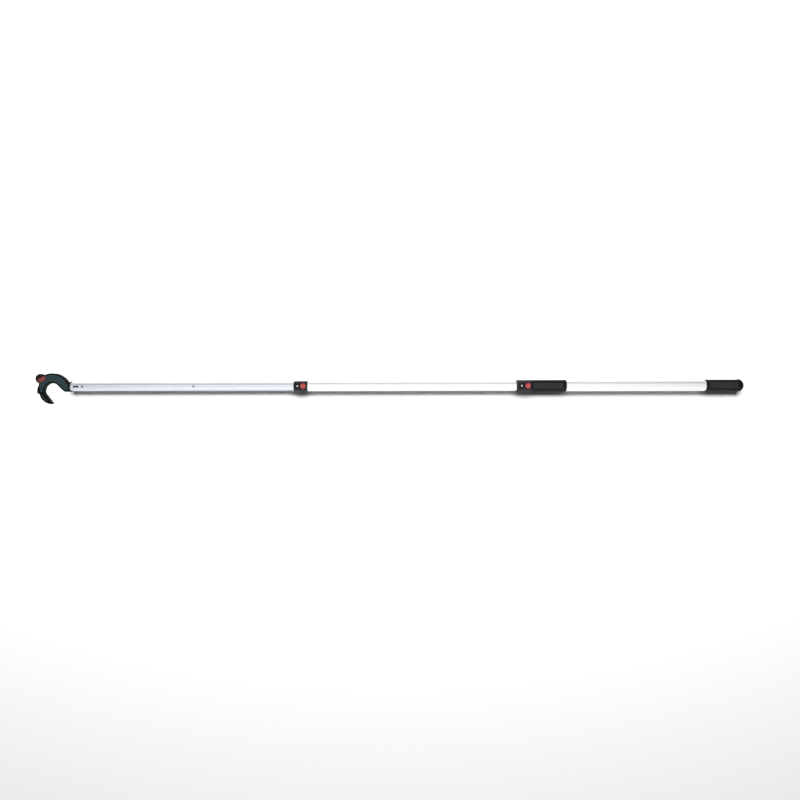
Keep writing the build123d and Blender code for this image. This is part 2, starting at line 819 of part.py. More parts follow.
def hook_panel(pill_window):
    """The inlay that covers one side of the hook and hides its screws."""
    with BuildPart() as panel:
        with BuildSketch(hook_level(hook_shell_thickness - panel_seat)):
            draw_hook_outline(nose_lug=False)
            offset(amount=-panel_inset)
        extrude(amount=panel_seat + panel_proud)
        chamfer(panel.faces().sort_by(Axis.Z)[-1].edges(), length=panel_edge)
        if pill_window:
            with BuildSketch(hook_level(0)):
                draw_pill(pill_frame)
            extrude(amount=2 * hook_shell_thickness, mode=Mode.SUBTRACT)
    return panel.part


export(hook_panel(pill_window=True), "hook_panel_upper")
with BuildPart() as hook_panel_lower:
    add(mirror(hook_panel(pill_window=False), about=Plane.XY))
export(hook_panel_lower.part, "hook_panel_lower")

with BuildPart() as hook_body_block:
    with BuildSketch(hook_level(-hook_shell_thickness)):
        draw_hook_outline()
    extrude(amount=2 * hook_shell_thickness)

with BuildPart() as nose_bumper:
    with BuildSketch(nose_level(-bumper_thickness)):
        Circle(nose_bumper_radius)
    extrude(amount=2 * bumper_thickness)
    fillet(nose_bumper.edges().filter_by(GeomType.CIRCLE), radius=bumper_edge_radius)
    add(hook_body_block.part, mode=Mode.SUBTRACT)
    with BuildSketch(nose_level(-bumper_tongue_thickness / 2)):
        draw_nose_tongue()
    extrude(amount=bumper_tongue_thickness)
export(nose_bumper.part, "nose_bumper")

with BuildPart() as side_bumper:
    with BuildSketch(hook_level(-bumper_thickness)):
        draw_ring_sector(channel_outer_radius, side_bumper_radius, side_bumper_start, side_bumper_end)
    extrude(amount=2 * bumper_thickness)
    outer_rims = side_bumper.edges().filter_by(GeomType.CIRCLE)
    outer_rims = outer_rims.filter_by(lambda edge: abs(edge.radius - side_bumper_radius) < 0.01)
    chamfer(outer_rims, length=bumper_edge_radius / 2)
    add(hook_body_block.part, mode=Mode.SUBTRACT)
    with BuildSketch(hook_level(-bumper_tongue_thickness / 2)):
        draw_side_tongue()
    extrude(amount=bumper_tongue_thickness)
export(side_bumper.part, "side_bumper")

# Socket between the inner tube and the hook
socket_flat = flat_height_of(inner_tube_radius) - tube_wall
key_base_top = socket_flat
with BuildPart() as hook_socket:
    with BuildSketch(Plane.XZ):
        with BuildLine():
            flange_foot = (-(neck_reach + flange_length), neck_radius)
            flange_rim = (-(neck_reach + flange_rim_width), flange_radius)
            Line((-neck_reach, 0), (-neck_reach, flange_radius))
            Line((-neck_reach, flange_radius), flange_rim)
            Line(flange_rim, flange_foot)
            Line(flange_foot, (flange_foot[0], 0))
            Line((flange_foot[0], 0), (-neck_reach, 0))
        make_face()
    revolve(axis=Axis.X)
    with BuildSketch(across(neck_reach)):
        draw_tube_profile(inner_tube_radius, grow=-tube_wall)
    extrude(amount=socket_spigot_length)
    with BuildSketch(across(neck_reach)):
        Circle(socket_bore_radius)
    extrude(amount=socket_spigot_length, mode=Mode.SUBTRACT)
    with BuildSketch(hook_level(-socket_tang_thickness / 2)):
        with Locations((tang_x, axis_rise)):
            Rectangle(socket_tang_length, socket_tang_width)
            Circle(screw_radius, mode=Mode.SUBTRACT)
    extrude(amount=socket_tang_thickness)
    with BuildSketch(Plane.XY.offset(key_base_top - key_base_depth)):
        with Locations((-key_centre_reach, 0)):
            RectangleRounded(key_base_length, key_base_width, key_base_width / 3)
    extrude(amount=2 * key_base_depth, mode=Mode.SUBTRACT)
export(hook_socket.part, "hook_socket")

with BuildPart() as head_key:
    with BuildSketch(Plane.XY.offset(key_base_top - key_base_depth)):
        with Locations((-key_centre_reach, 0)):
            RectangleRounded(key_base_length, key_base_width, key_base_width / 3)
    extrude(amount=key_base_depth)
    with BuildSketch(Plane.XY.offset(key_base_top)):
        with Locations((-key_centre_reach, 0)):
            with GridLocations(key_lobe_pitch, 0, 2, 1):
                Circle(key_lobe_radius)
            Rectangle(key_lobe_pitch, key_waist)
    extrude(amount=tube_wall + key_proud)
    chamfer(head_key.faces().sort_by(Axis.Z)[-1].edges(), length=key_proud / 2)
export(head_key.part, "head_key")

# Threading arm
arm_rail_inner = channel_inner_radius + arm_clearance
arm_rail_outer = channel_outer_radius - arm_clearance
arm_rail_half = channel_half_height - arm_clearance
arm_root_angle = shell_end_angle + arm_step_gap


def draw_arm_blade():
    """The part of the arm that stands out of the hook, drawn in the open sketch."""
    root_out = polar(arm_outer_radius, arm_root_angle)
    root_in = polar(arm_root_inner_radius, arm_root_angle)
    tip_bend = polar(arm_outer_radius, arm_tip_bend_angle)
    bend_heading = (-sin(radians(arm_tip_bend_angle)), cos(radians(arm_tip_bend_angle)))
    arm_tip = polar(arm_outer_radius - arm_tip_setback, arm_tip_angle)
    arm_waist = polar(arm_outer_radius - arm_waist_width, arm_waist_angle)
    with BuildLine() as outline:
        Line(root_in, root_out)
        CenterArc((0, 0), arm_outer_radius, arm_root_angle, arm_tip_bend_angle - arm_root_angle)
        TangentArc(tip_bend, arm_tip, tangent=bend_heading)
        ThreePointArc(arm_tip, arm_waist, root_in)
    make_face(outline.edges())


with BuildPart() as threading_arm:
    with BuildSketch(hook_level(-arm_half_thickness)):
        draw_arm_blade()
    extrude(amount=2 * arm_half_thickness)
    blade_faces = threading_arm.faces().filter_by(Axis.Z)
    fillet(blade_faces.edges().filter_by(GeomType.CIRCLE), radius=arm_edge_radius)
    with BuildSketch(hook_level(-arm_rail_half)):
        draw_ring_sector(arm_rail_inner, arm_rail_outer, arm_tail_angle, arm_root_angle + 1)
    extrude(amount=2 * arm_rail_half)
    with BuildSketch(hook_level(arm_relief_top)):
        relief_inner = arm_rail_outer - arm_relief_depth
        draw_ring_sector(relief_inner, arm_rail_outer + 1, arm_tail_angle - 1, arm_root_angle)
    extrude(amount=-arm_rail_half, mode=Mode.SUBTRACT)
    with BuildSketch(hook_level(arm_relief_top)):
        notch_start = arm_notch_angle - arm_notch_span / 2
        draw_ring_sector(relief_inner, arm_rail_outer + 1, notch_start, notch_start + arm_notch_span)
    extrude(amount=2 * arm_rail_half, mode=Mode.SUBTRACT)
    for side in (1, -1):
        with BuildSketch(hook_level(side * (arm_half_thickness - inlay_seat))):
            draw_ring_sector(inlay_inner_radius, inlay_outer_radius, inlay_start_angle, inlay_end_angle)
        extrude(amount=side * inlay_seat, mode=Mode.SUBTRACT)
export(threading_arm.part, "threading_arm")

for side, side_name in ((1, "upper"), (-1, "lower")):
    with BuildPart() as arm_inlay:
        with BuildSketch(hook_level(side * (arm_half_thickness - inlay_seat))):
            draw_ring_sector(inlay_inner_radius, inlay_outer_radius, inlay_start_angle, inlay_end_angle)
        extrude(amount=side * (inlay_seat + inlay_proud))
        outer_face = arm_inlay.faces().sort_by(Axis.Z, reverse=side < 0)[-1]
        chamfer(outer_face.edges(), length=inlay_proud / 2)
    export(arm_inlay.part, f"arm_inlay_{side_name}")

# Release button, its spring and the catch
with BuildPart() as arm_button:
    with BuildSketch(hook_level(pill_flange_under)):
        draw_pill(0)
    extrude(amount=hook_shell_thickness + pill_proud - pill_flange_under)
    fillet(arm_button.faces().sort_by(Axis.Z)[-1].edges(), radius=pill_edge_radius)
    with BuildSketch(hook_level(pill_flange_under)):
        draw_pill(pill_flange)
    extrude(amount=pill_flange_depth)
    with BuildSketch(hook_level(catch_thickness / 2 + free_clearance)):
        with Locations(pill_foot_spot):
            Circle(pill_foot_radius)
    extrude(amount=pill_flange_under - catch_thickness / 2 - free_clearance)
export(arm_button.part, "arm_button")

spring_x = pill_spot[0] - pill_spring_offset * cos(radians(pill_turn))
spring_y = pill_spot[1] - pill_spring_offset * sin(radians(pill_turn))
spring_foot = hook_plane.from_local_coords((spring_x, spring_y, 0))
arm_button_spring = coil_spring(
    spring_foot.X,
    spring_foot.Y,
    pill_pocket_floor + running_clearance,
    pill_flange_under - running_clearance,
    pill_spring_radius,
    pill_spring_wire,
    pill_spring_turns,
)
export(arm_button_spring, "arm_button_spring")

with BuildPart() as arm_catch:
    with BuildSketch(hook_level(-catch_thickness / 2)):
        draw_ring_sector(catch_inner_radius, catch_outer_radius, catch_free_angle, catch_end_angle)
        tooth_margin = (arm_notch_span - catch_tooth_span) / 2
        draw_ring_sector(
            channel_outer_radius - catch_tooth_depth,
            catch_inner_radius + catch_width / 2,
            catch_free_angle + tooth_margin,
            catch_free_angle + tooth_margin + catch_tooth_span,
        )
    extrude(amount=catch_thickness)
export(arm_catch.part, "arm_catch")
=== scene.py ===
"""Looks for a telescopic boat hook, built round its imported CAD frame."""

import json
import math

import bmesh
import bpy
from mathutils import Matrix, Vector

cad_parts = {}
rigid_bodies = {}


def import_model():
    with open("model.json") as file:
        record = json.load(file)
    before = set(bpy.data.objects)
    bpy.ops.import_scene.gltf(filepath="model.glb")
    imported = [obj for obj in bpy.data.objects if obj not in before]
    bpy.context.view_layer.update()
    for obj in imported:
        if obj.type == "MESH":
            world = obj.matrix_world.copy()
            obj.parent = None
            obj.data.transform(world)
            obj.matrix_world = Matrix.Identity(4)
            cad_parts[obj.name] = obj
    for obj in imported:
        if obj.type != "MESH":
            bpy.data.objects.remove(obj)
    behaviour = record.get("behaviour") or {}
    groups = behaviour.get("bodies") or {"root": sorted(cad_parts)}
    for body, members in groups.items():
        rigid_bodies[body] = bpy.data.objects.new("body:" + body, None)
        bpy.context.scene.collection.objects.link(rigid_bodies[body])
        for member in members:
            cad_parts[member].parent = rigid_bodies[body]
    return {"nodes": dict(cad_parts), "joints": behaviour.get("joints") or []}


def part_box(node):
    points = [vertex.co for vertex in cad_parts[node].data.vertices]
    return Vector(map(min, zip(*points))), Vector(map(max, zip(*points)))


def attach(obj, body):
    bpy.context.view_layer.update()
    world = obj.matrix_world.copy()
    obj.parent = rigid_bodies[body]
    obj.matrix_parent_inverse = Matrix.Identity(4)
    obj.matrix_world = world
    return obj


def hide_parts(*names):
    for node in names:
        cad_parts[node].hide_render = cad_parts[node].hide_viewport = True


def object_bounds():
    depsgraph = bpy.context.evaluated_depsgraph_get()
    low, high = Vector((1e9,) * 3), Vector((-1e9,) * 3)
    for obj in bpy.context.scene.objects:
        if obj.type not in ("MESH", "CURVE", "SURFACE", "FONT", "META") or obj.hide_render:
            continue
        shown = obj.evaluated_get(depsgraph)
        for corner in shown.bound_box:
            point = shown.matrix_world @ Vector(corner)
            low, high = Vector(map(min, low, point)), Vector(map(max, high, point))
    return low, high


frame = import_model()
cad_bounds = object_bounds()

MM = 0.001
FLOOR_GAP = 0.0002
MERGE_DISTANCE = 1e-6
SHARP_ANGLE = 32

# Tubes and their lock holes
FLAT_DEPTH = 1.05 * MM
TUBE_WALL = 1.5 * MM
TUBE_CHAMFER = 0.3 * MM
LOCK_HOLE_RADIUS = 3.25 * MM
LOCK_PIN_MARGIN = 5.0 * MM
INNER_LOCK_STROKES = (0.0, 358.0 * MM, 740.0 * MM)

# Grips
RIB_PITCH = 2.6 * MM
RIB_DEPTH = 0.55 * MM
SLEEVE_SQUEEZE = 0.2 * MM

# Collars and their round buttons
BOSS_HALF_WIDTH = 12.55 * MM
BOSS_CORNER = 2.2 * MM
BOSS_END_MARGIN = 1.5 * MM
BOSS_RISE = 1.7 * MM
BUTTON_FLANGE = 0.8 * MM
BUTTON_GAP = 0.35 * MM
PIN_DISH_RADIUS = 7.6 * MM

# Hook, in millimetres and degrees about the centre of its mouth unless MM is given
MOUTH = 27.5
ARCH = 61.5
NECK_CORNER = 43.0
SHELL_END = 45.5
SHELL_END_ANGLE = 194.0
NOSE_ANGLE = 134.0
PANEL_INSET = 5.2
SHELL_HALF = 8.0 * MM
SHELL_GAP = 0.05 * MM
PILL_LENGTH = 29.0
PILL_WIDTH = 15.4
PILL_ANGLE = 130.4
PILL_DISTANCE = 53.5
PILL_TURN = 28.0
PILL_POCKET = 4.4 * MM
PILL_FOOT = 2.2 * MM


# ---------------------------------------------------------------- places read from the frame


def span(node):
    """A node's low and high reach along the pole, and its half width across it."""
    low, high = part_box(node)
    return low[0], high[0], (high[1] - low[1]) / 2


joints = {joint["name"]: joint for joint in frame["joints"]}
HOOK_CENTRE = Vector(joints["arm_turn"]["pos_m"])


# ---------------------------------------------------------------- materials


def shader(name, colour, roughness, metallic=0.0):
    """A material with its Principled shader, and handles for adding detail."""
    material = bpy.data.materials.new(name)
    material.use_nodes = True
    nodes = material.node_tree.nodes
    principled = nodes["Principled BSDF"]
    principled.inputs["Base Color"].default_value = (*colour, 1)
    principled.inputs["Roughness"].default_value = roughness
    principled.inputs["Metallic"].default_value = metallic
    return material, nodes, material.node_tree.links, principled


def object_noise(nodes, links, scale, stretch=(1, 1, 1), detail=4, distortion=0.0):
    """Noise on the piece's own coordinates, stretched along each axis."""
    place = nodes.new("ShaderNodeTexCoord")
    mapping = nodes.new("ShaderNodeMapping")
    mapping.inputs["Scale"].default_value = stretch
    noise = nodes.new("ShaderNodeTexNoise")
    noise.inputs["Scale"].default_value = scale
    noise.inputs["Detail"].default_value = detail
    noise.inputs["Distortion"].default_value = distortion
    links.new(place.outputs["Object"], mapping.inputs["Vector"])
    links.new(mapping.outputs["Vector"], noise.inputs["Vector"])
    return noise.outputs["Fac"]


def ramp(nodes, links, source, low, high, first, last):
    """A colour ramp between two stops."""
    stops = nodes.new("ShaderNodeValToRGB")
    stops.color_ramp.elements[0].position = low
    stops.color_ramp.elements[0].color = (*first, 1)
    stops.color_ramp.elements[1].position = high
    stops.color_ramp.elements[1].color = (*last, 1)
    links.new(source, stops.inputs["Fac"])
    return stops.outputs["Color"]


def spread(nodes, links, source, low, high):
    """Map a 0 to 1 value on to a range."""
    remap = nodes.new("ShaderNodeMapRange")
    remap.inputs["To Min"].default_value = low
    remap.inputs["To Max"].default_value = high
    links.new(source, remap.inputs["Value"])
    return remap.outputs["Result"]


def bump(nodes, links, principled, height, strength, distance):
    """Roughen the surface with a height."""
    relief = nodes.new("ShaderNodeBump")
    relief.inputs["Strength"].default_value = strength
    relief.inputs["Distance"].default_value = distance
    links.new(height, relief.inputs["Height"])
    links.new(relief.outputs["Normal"], principled.inputs["Normal"])


def anodised(name, colour, dark, roughness, metallic):
    """Drawn aluminium tube, with fine lengthwise lines and faint handling marks."""
    material, nodes, links, principled = shader(name, colour, roughness, metallic)
    lines = object_noise(nodes, links, 900, stretch=(0.004, 1, 1), detail=3)
    links.new(ramp(nodes, links, lines, 0.3, 0.7, dark, colour), principled.inputs["Base Color"])
    marks = object_noise(nodes, links, 14, stretch=(0.3, 1, 1), detail=6, distortion=0.6)
    shine = spread(nodes, links, marks, roughness - 0.07, roughness + 0.1)
    links.new(shine, principled.inputs["Roughness"])
    bump(nodes, links, principled, lines, 0.12, 0.00004)
    return material


def moulded(name, colour, worn, roughness, grain=2600, relief=0.22, coat=0.0, gloss=0.5):
    """Injection-moulded plastic with a fine spark-eroded grain."""
    material, nodes, links, principled = shader(name, colour, roughness)
    cloud = object_noise(nodes, links, 55, detail=5)
    links.new(ramp(nodes, links, cloud, 0.35, 0.75, colour, worn), principled.inputs["Base Color"])
    grit = object_noise(nodes, links, grain, detail=2)
    shine = spread(nodes, links, grit, roughness - 0.06, roughness + 0.08)
    links.new(shine, principled.inputs["Roughness"])
    bump(nodes, links, principled, grit, relief, 0.00006)
    principled.inputs["Coat Weight"].default_value = coat
    principled.inputs["Specular IOR Level"].default_value = gloss
    return material


def rubber(name, colour, worn):
    """Soft black rubber with a dusty, matt skin."""
    material, nodes, links, principled = shader(name, colour, 0.62)
    dust = object_noise(nodes, links, 38, detail=7, distortion=0.4)
    links.new(ramp(nodes, links, dust, 0.4, 0.8, colour, worn), principled.inputs["Base Color"])
    skin = object_noise(nodes, links, 1500, detail=4)
    links.new(spread(nodes, links, skin, 0.5, 0.72), principled.inputs["Roughness"])
    bump(nodes, links, principled, skin, 0.35, 0.00008)
    principled.inputs["Sheen Weight"].default_value = 0.01
    principled.inputs["Specular IOR Level"].default_value = 0.16
    principled.inputs["Sheen Roughness"].default_value = 0.6
    return material


def steel(name, colour, roughness):
    """Bright stainless steel with turned marks."""
    material, nodes, links, principled = shader(name, colour, roughness, 1.0)
    marks = object_noise(nodes, links, 1800, stretch=(1, 1, 0.1), detail=2)
    shine = spread(nodes, links, marks, roughness - 0.05, roughness + 0.12)
    links.new(shine, principled.inputs["Roughness"])
    return material


SILVER = anodised("bright_anodised", (0.93, 0.93, 0.94), (0.87, 0.88, 0.89), 0.36, 0.85)
PALE_BLUE = anodised("natural_anodised", (0.74, 0.77, 0.84), (0.68, 0.71, 0.77), 0.34, 0.9)
BLACK = moulded("black_moulding", (0.003, 0.003, 0.004), (0.006, 0.006, 0.007), 0.52, gloss=0.10)
COLLAR = moulded("collar_moulding", (0.007, 0.009, 0.011), (0.013, 0.015, 0.018), 0.44, gloss=0.22)
SLATE = moulded("slate_moulding", (0.015, 0.040, 0.046), (0.026, 0.054, 0.062), 0.42, gloss=0.25)
RED = moulded(
    "red_moulding", (0.50, 0.045, 0.038), (0.60, 0.070, 0.058), 0.33, grain=3400, relief=0.1, coat=0.15
)
MAROON = moulded(
    "maroon_moulding", (0.20, 0.032, 0.030), (0.30, 0.050, 0.046), 0.36, grain=3400, relief=0.1, coat=0.1
)
# Reddish near-black for the rings round the buttons and the lock pins; round the red buttons this reddish
# dark is painted shade for the buttons' shaded rims.
BEZEL_AND_RIM_SHADE = moulded("bezel_moulding", (0.012, 0.003, 0.004), (0.020, 0.006, 0.007), 0.38, gloss=0.18)
RUBBER = rubber("grip_rubber", (0.005, 0.005, 0.006), (0.011, 0.011, 0.012))
# Lighter rubber for painted highlights: the upward faces of the thumb pads and a thin ring across the end
# grip.
HIGHLIGHT_RUBBER = rubber("polished_edge", (0.032, 0.032, 0.036), (0.048, 0.048, 0.052))
DARK_RUBBER = rubber("bumper_rubber", (0.003, 0.003, 0.003), (0.006, 0.006, 0.007))
# Dark grey for the inside of the tubes: painted shade for the dark inside seen through the lock holes.
SHADED_BORE = moulded("raw_bore", (0.10, 0.10, 0.11), (0.15, 0.15, 0.16), 0.6, gloss=0.2)
NYLON = moulded("natural_nylon", (0.72, 0.70, 0.64), (0.78, 0.76, 0.71), 0.42, relief=0.1)
STEEL = steel("stainless", (0.80, 0.81, 0.82), 0.22)
DULL_STEEL = steel("fixing_steel", (0.55, 0.55, 0.56), 0.34)


# ---------------------------------------------------------------- mesh helpers


def make_piece(name, bm, material, body, replaced=(), sharp=SHARP_ANGLE):
    """Close a bmesh into a smooth-shaded piece that rides on a body."""
    bmesh.ops.remove_doubles(bm, verts=bm.verts, dist=MERGE_DISTANCE)
    bmesh.ops.recalc_face_normals(bm, faces=bm.faces)
    mesh = bpy.data.meshes.new(name)
    bm.to_mesh(mesh)
    bm.free()
    mesh.shade_smooth()
    mesh.set_sharp_from_angle(angle=math.radians(sharp))
    piece = bpy.data.objects.new(name, mesh)
    bpy.context.collection.objects.link(piece)
    mesh.materials.append(material)
    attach(piece, body)
    if replaced:
        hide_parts(*replaced)
    return piece


def spin_profile(bm, points, axis, centre, segments):
    """Turn a closed profile of 3-D points about an axis."""
    verts = [bm.verts.new(point) for point in points]
    edges = [bm.edges.new((a, b)) for a, b in zip(verts, verts[1:] + verts[:1])]
    bmesh.ops.spin(
        bm,
        geom=verts + edges,
        axis=axis,
        cent=centre,
        dvec=(0, 0, 0),
        angle=2 * math.pi,
        steps=segments,
        use_merge=True,
        use_duplicate=False,
    )


def turned_along_pole(profile, segments=128):
    """A ring or sleeve about the pole's axis, from a closed (x, radius) profile."""
    bm = bmesh.new()
    spin_profile(bm, [(x, 0, radius) for x, radius in profile], (1, 0, 0), (0, 0, 0), segments)
    return bm


def turned_upright(profile, centre, segments=64):
    """A button or ring about an upright axis, from a closed (radius, z) profile."""
    bm = bmesh.new()
    points = [(centre[0] + radius, centre[1], z) for radius, z in profile]
    spin_profile(bm, points, (0, 0, 1), (centre[0], centre[1], 0), segments)
    return bm


def rim_edges(bm, height):
    """The edges that lie flat at a height."""
    return [e for e in bm.edges if all(abs(v.co.z - height) < 1e-7 for v in e.verts)]


def round_edges(bm, edges, radius, segments=3):
    """Round off edges."""
    bmesh.ops.bevel(
        bm,
        geom=edges,
        offset=radius,
        offset_type="OFFSET",
        segments=segments,
        profile=0.5,
        affect="EDGES",
        material=-1,
        clamp_overlap=True,
    )


def raise_block(bm, corners, height):
    """Draw a flat outline of 3-D corners straight up into a block."""
    face = bm.faces.new([bm.verts.new(corner) for corner in corners])
    raised = bmesh.ops.extrude_face_region(bm, geom=[face])
    top = [item for item in raised["geom"] if isinstance(item, bmesh.types.BMVert)]
    bmesh.ops.translate(bm, verts=top, vec=(0, 0, height))


def prism(bm, outline, low, high, top_round=0.0, bottom_round=0.0, segments=4):
    """A flat-sided block over an outline in the hook's plane (millimetres), with rounded rims."""
    foot = Vector((0, 0, low))
    raise_block(bm, [HOOK_CENTRE + Vector((x, y, 0)) * MM + foot for x, y in outline], high - low)
    if top_round:
        round_edges(bm, rim_edges(bm, high), top_round, segments)
    if bottom_round:
        round_edges(bm, rim_edges(bm, low), bottom_round, segments)
    return bm


def half_block(side, outline, near, far, far_round, near_round=0.0, segments=4):
    """A block on the upper (1) or lower (-1) side of the hook, from its near face to its far one."""
    if side > 0:
        return prism(bmesh.new(), outline, near, far, far_round, near_round, segments)
    return prism(bmesh.new(), outline, -far, -near, near_round, far_round, segments)


def join_in(bm, other):
    """Add one bmesh to another, and free it."""
    mesh = bpy.data.meshes.new("joined")
    other.to_mesh(mesh)
    other.free()
    bm.from_mesh(mesh)
    bpy.data.meshes.remove(mesh)


def arc(radius, start, end, centre=(0, 0), step=3.0):
    """Points along an arc, angles in degrees."""
    count = max(2, int(abs(end - start) / step))
    angles = [math.radians(start + (end - start) * i / count) for i in range(count + 1)]
    return [(centre[0] + radius * math.cos(a), centre[1] + radius * math.sin(a)) for a in angles]


def arc_through(first, middle, last, count=24):
    """Points along the circle through three points."""
    (ax, ay), (bx, by), (cx, cy) = first, middle, last
    d = 2 * (ax * (by - cy) + bx * (cy - ay) + cx * (ay - by))
    ux = ((ax**2 + ay**2) * (by - cy) + (bx**2 + by**2) * (cy - ay) + (cx**2 + cy**2) * (ay - by)) / d
    uy = ((ax**2 + ay**2) * (cx - bx) + (bx**2 + by**2) * (ax - cx) + (cx**2 + cy**2) * (bx - ax)) / d
    radius = math.hypot(ax - ux, ay - uy)
    turns = [math.degrees(math.atan2(y - uy, x - ux)) for x, y in (first, middle, last)]
    sweep = (turns[2] - turns[0]) % 360
    if (turns[1] - turns[0]) % 360 > sweep:
        sweep -= 360
    return arc(radius, turns[0], turns[0] + sweep, (ux, uy), step=abs(sweep) / count)


def arc_from(start, heading, end, count=16):
    """Points along the arc that leaves a point in a direction, given in degrees, and meets another."""
    chord = Vector((end[0] - start[0], end[1] - start[1]))
    half_turn = math.radians(heading) - math.atan2(chord.y, chord.x)
    half_turn = math.atan2(math.sin(half_turn), math.cos(half_turn))
    middle_turn = math.atan2(chord.y, chord.x) + half_turn / 2
    reach = chord.length / 2 / math.cos(half_turn / 2)
    middle = (start[0] + reach * math.cos(middle_turn), start[1] + reach * math.sin(middle_turn))
    return arc_through(start, middle, end, count)


def polar(radius, angle):
    """A point about the centre of the hook's mouth, in millimetres."""
    return (radius * math.cos(math.radians(angle)), radius * math.sin(math.radians(angle)))


# ---------------------------------------------------------------- tubes


def ring_stack(stations, angles, reach):
    """A closed hollow piece about the pole, one ring of edges drawn on from station to station."""
    bm = bmesh.new()
    x, *shape = stations[0]
    verts = []
    for angle in angles:
        distance = reach(angle, *shape)
        verts.append(bm.verts.new((x, distance * math.sin(angle), distance * math.cos(angle))))
    ring = [bm.edges.new((a, b)) for a, b in zip(verts, verts[1:] + verts[:1])]
    for x, *shape in stations[1:] + stations[:1]:
        drawn = bmesh.ops.extrude_edge_only(bm, edges=ring)["geom"]
        moved = {item for item in drawn if isinstance(item, bmesh.types.BMVert)}
        for vert in moved:
            angle = math.atan2(vert.co.y, vert.co.z)
            distance = reach(angle, *shape)
            vert.co = (x, distance * math.sin(angle), distance * math.cos(angle))
        edges = (item for item in drawn if isinstance(item, bmesh.types.BMEdge))
        ring = [edge for edge in edges if all(vert in moved for vert in edge.verts)]
    bmesh.ops.remove_doubles(bm, verts=bm.verts, dist=MERGE_DISTANCE)
    return bm


def flat_tube(x_low, x_high, radius):
    """A drawn tube with a flat along its top and lightly chamfered ends."""
    corner = math.acos((radius - FLAT_DEPTH) / radius)
    soft = math.radians(1.2)
    angles = [-corner + soft, 0.0, corner - soft, corner, corner + soft]
    turn = 2 * math.pi - 2 * corner - 2 * soft
    facets = 150
    angles += [corner + soft + turn * i / facets for i in range(1, facets)]
    angles += [-corner - soft, -corner]

    def reach(angle, inset):
        rise = math.cos(angle)
        limit = (radius - FLAT_DEPTH - inset) / rise if rise > 0.5 else 1.0
        return min(radius - inset, limit)

    stations = [
        (x_low, TUBE_CHAMFER),
        (x_low + TUBE_CHAMFER, 0.0),
        (x_high - TUBE_CHAMFER, 0.0),
        (x_high, TUBE_CHAMFER),
        (x_high, TUBE_WALL - TUBE_CHAMFER),
        (x_high - TUBE_CHAMFER, TUBE_WALL),
        (x_low + TUBE_CHAMFER, TUBE_WALL),
        (x_low, TUBE_WALL - TUBE_CHAMFER),
    ]
    return ring_stack(stations, angles, reach)


def cut_away(piece, cutters):
    """Cut closed cutter meshes, which stay clear of each other, out of a piece for good."""
    if not cutters:
        return
    joined = bmesh.new()
    for cutter_bm in cutters:
        join_in(joined, cutter_bm)
    bmesh.ops.recalc_face_normals(joined, faces=joined.faces)
    mesh = bpy.data.meshes.new("cutter")
    joined.to_mesh(mesh)
    joined.free()
    cutter = bpy.data.objects.new("cutter", mesh)
    bpy.context.collection.objects.link(cutter)
    boolean = piece.modifiers.new("cut", "BOOLEAN")
    boolean.operation = "DIFFERENCE"
    boolean.solver = "EXACT"
    boolean.object = cutter
    depsgraph = bpy.context.evaluated_depsgraph_get()
    result = bpy.data.meshes.new_from_object(piece.evaluated_get(depsgraph))
    piece.modifiers.clear()
    piece.data = result
    bpy.data.objects.remove(cutter)
    piece.data.shade_smooth()
    piece.data.set_sharp_from_angle(angle=math.radians(SHARP_ANGLE))


def upright_cutter(x, y, radius, low, high, segments=48):
    """A round cutter standing along Z."""
    bm = bmesh.new()
    bmesh.ops.create_cone(
        bm,
        cap_ends=True,
        segments=segments,
        radius1=radius,
        radius2=radius,
        depth=high - low,
        matrix=Matrix.Translation((x, y, (low + high) / 2)),
    )
    return bm


def pin_x(leaf):
    """Where a lock leaf's pin stands: a pin's margin in from the leaf's far end."""
    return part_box(leaf)[0][0] + LOCK_PIN_MARGIN


def lock_hole(x, flat):
    """A cutter for a lock hole through a tube's flat."""
    return upright_cutter(x, 0, LOCK_HOLE_RADIUS, flat - 5 * MM, flat + 5 * MM)


def make_tubes():
    """The three tubes, with the lock holes and key slot that show, and a bore painted dark as shade."""
    for node, body, material in (
        ("outer_tube", "outer_stage", SILVER),
        ("middle_tube", "middle_stage", SILVER),
        ("inner_tube", "inner_stage", PALE_BLUE),
    ):
        x_low, x_high, radius = span(node)
        bm = flat_tube(x_low, x_high, radius)
        piece = make_piece(node + "_skin", bm, material, body, (node,))
        flat = radius - FLAT_DEPTH
        holes = []
        if node == "inner_tube":
            first = pin_x("middle_lock_leaf")
            holes += [lock_hole(first - stroke, flat) for stroke in INNER_LOCK_STROKES]
            holes.append(key_block(0.12, flat - 4 * MM, flat + 4 * MM))
        if node == "middle_tube":
            holes.append(lock_hole(pin_x("handle_lock_leaf"), flat))
        cut_away(piece, holes)
        # The inside faces take the dark grey: painted shade inside the tube, where little light reaches.
        piece.data.materials.append(SHADED_BORE)
        for face in piece.data.polygons:
            if face.center.yz.length < radius - FLAT_DEPTH - 0.6 * TUBE_WALL:
                face.material_index = 1


# ---------------------------------------------------------------- grips and butt cap


def ribbed_profile(x_low, x_high, outside, bore, pitch, depth, plain_low, plain_high):
    """A sleeve's closed profile with rounded ring ribs between two plain ends."""
    edge = 0.5 * MM
    points = [
        (x_low, bore),
        (x_low, outside - edge),
        (x_low + edge * 0.3, outside - edge * 0.3),
        (x_low + edge, outside),
    ]
    x = x_low + plain_low
    while x + pitch < x_high - plain_high:
        points += [
            (x, outside),
            (x + 0.10 * pitch, outside - 0.5 * depth),
            (x + 0.20 * pitch, outside - depth),
            (x + 0.34 * pitch, outside - depth),
            (x + 0.44 * pitch, outside - 0.5 * depth),
            (x + 0.54 * pitch, outside),
        ]
        x += pitch
    points += [
        (x_high - edge, outside),
        (x_high - edge * 0.3, outside - edge * 0.3),
        (x_high, outside - edge),
        (x_high, bore),
    ]
    return points


def make_grip_part(name, profile, material, replaced=()):
    """A rubber ring or sleeve on the outer tube."""
    make_piece(name, turned_along_pole(profile), material, "outer_stage", replaced)


